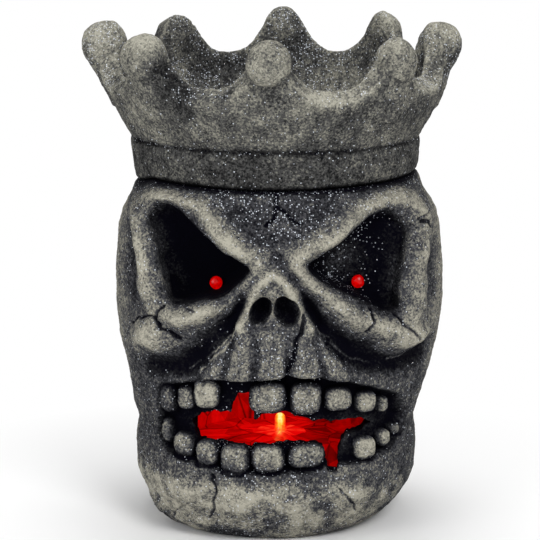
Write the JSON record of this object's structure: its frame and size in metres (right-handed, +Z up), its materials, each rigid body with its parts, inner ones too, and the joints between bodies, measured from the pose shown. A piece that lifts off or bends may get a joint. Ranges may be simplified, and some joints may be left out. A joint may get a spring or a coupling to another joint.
{
  "type": "skull candy bowl",
  "caption": "Hollow cast skull with a pointed crown that forms a bowl, and a red lamp behind its teeth.",
  "frame": {"origin": "on the floor under the middle of the crown and skull", "axes": "+Z up through the crown, the face looks along -Y, +X to the right as the face is seen from the front"},
  "size_m": [0.1816, 0.1816, 0.2356],
  "materials": {
    "skull_stone": "rough cast stone, dry-brushed pale on the ridges, dark in the hollows, with fine glitter",
    "crown_stone": "rough cast stone, dry-brushed, with fine glitter",
    "red_film": "thin clear red film, creased, lit from inside",
    "mouth_lens": "clear epoxy, lit",
    "eye_lens": "red epoxy, lit",
    "black_plastic": "moulded, fine texture",
    "white_plastic": "moulded, smooth",
    "steel": "zinc or nickel plated steel",
    "brass": "bright",
    "cell_jacket": "printed film sleeve, left plain",
    "board": "solder mask",
    "resistor": "lacquer",
    "red_cover": "wire insulation",
    "black_cover": "wire insulation"
  },
  "bodies": {
    "root": {"skull_shell": "skull_stone", "crown_bowl": "crown_stone", "mouth_liner": "red_film", "mouth_led": "mouth_lens", "mouth_led_pillar": "white_plastic", "eye_led_left": "eye_lens", "eye_led_right": "eye_lens", "eye_led_cap_left": "black_plastic", "eye_led_cap_right": "black_plastic", "base_plate": "black_plastic", "battery_box": "black_plastic", "contact_positive": "steel", "contact_negative": "steel", "contact_bridge_1": "steel", "contact_bridge_2": "steel", "switch_body": "black_plastic", "switch_terminal_1": "brass", "switch_terminal_2": "brass", "circuit_board": "board", "battery_lead_red": "red_cover", "switch_lead_red": "red_cover", "battery_lead_black": "black_cover", "mouth_led_lead": "black_cover", "eye_led_lead_left": "black_cover", "eye_led_lead_right": "black_cover", "base_screw_1": "steel", "screw_anchor_1": "white_plastic", "base_screw_2": "steel", "screw_anchor_2": "white_plastic", "base_screw_3": "steel", "screw_anchor_3": "white_plastic", "base_screw_4": "steel", "screw_anchor_4": "white_plastic", "battery_1": "cell_jacket", "battery_spring_1": "steel", "resistor_1": "resistor", "battery_2": "cell_jacket", "battery_spring_2": "steel", "resistor_2": "resistor", "battery_3": "cell_jacket", "battery_spring_3": "steel", "resistor_3": "resistor"},
    "battery_door": {"battery_door": "black_plastic"},
    "switch_knob": {"switch_knob": "white_plastic"}
  },
  "joints": [
    {"name": "battery_door_hinge", "type": "hinge", "parent": "root", "child": "battery_door", "pos_m": [0, -0.02385, 0.0054], "axis": [-1, 0, 0], "range_deg": [0, 80]},
    {"name": "switch_slide", "type": "slide", "parent": "root", "child": "switch_knob", "axis": [0, 1, 0], "range_m": [0, 0.004]}
  ]
}
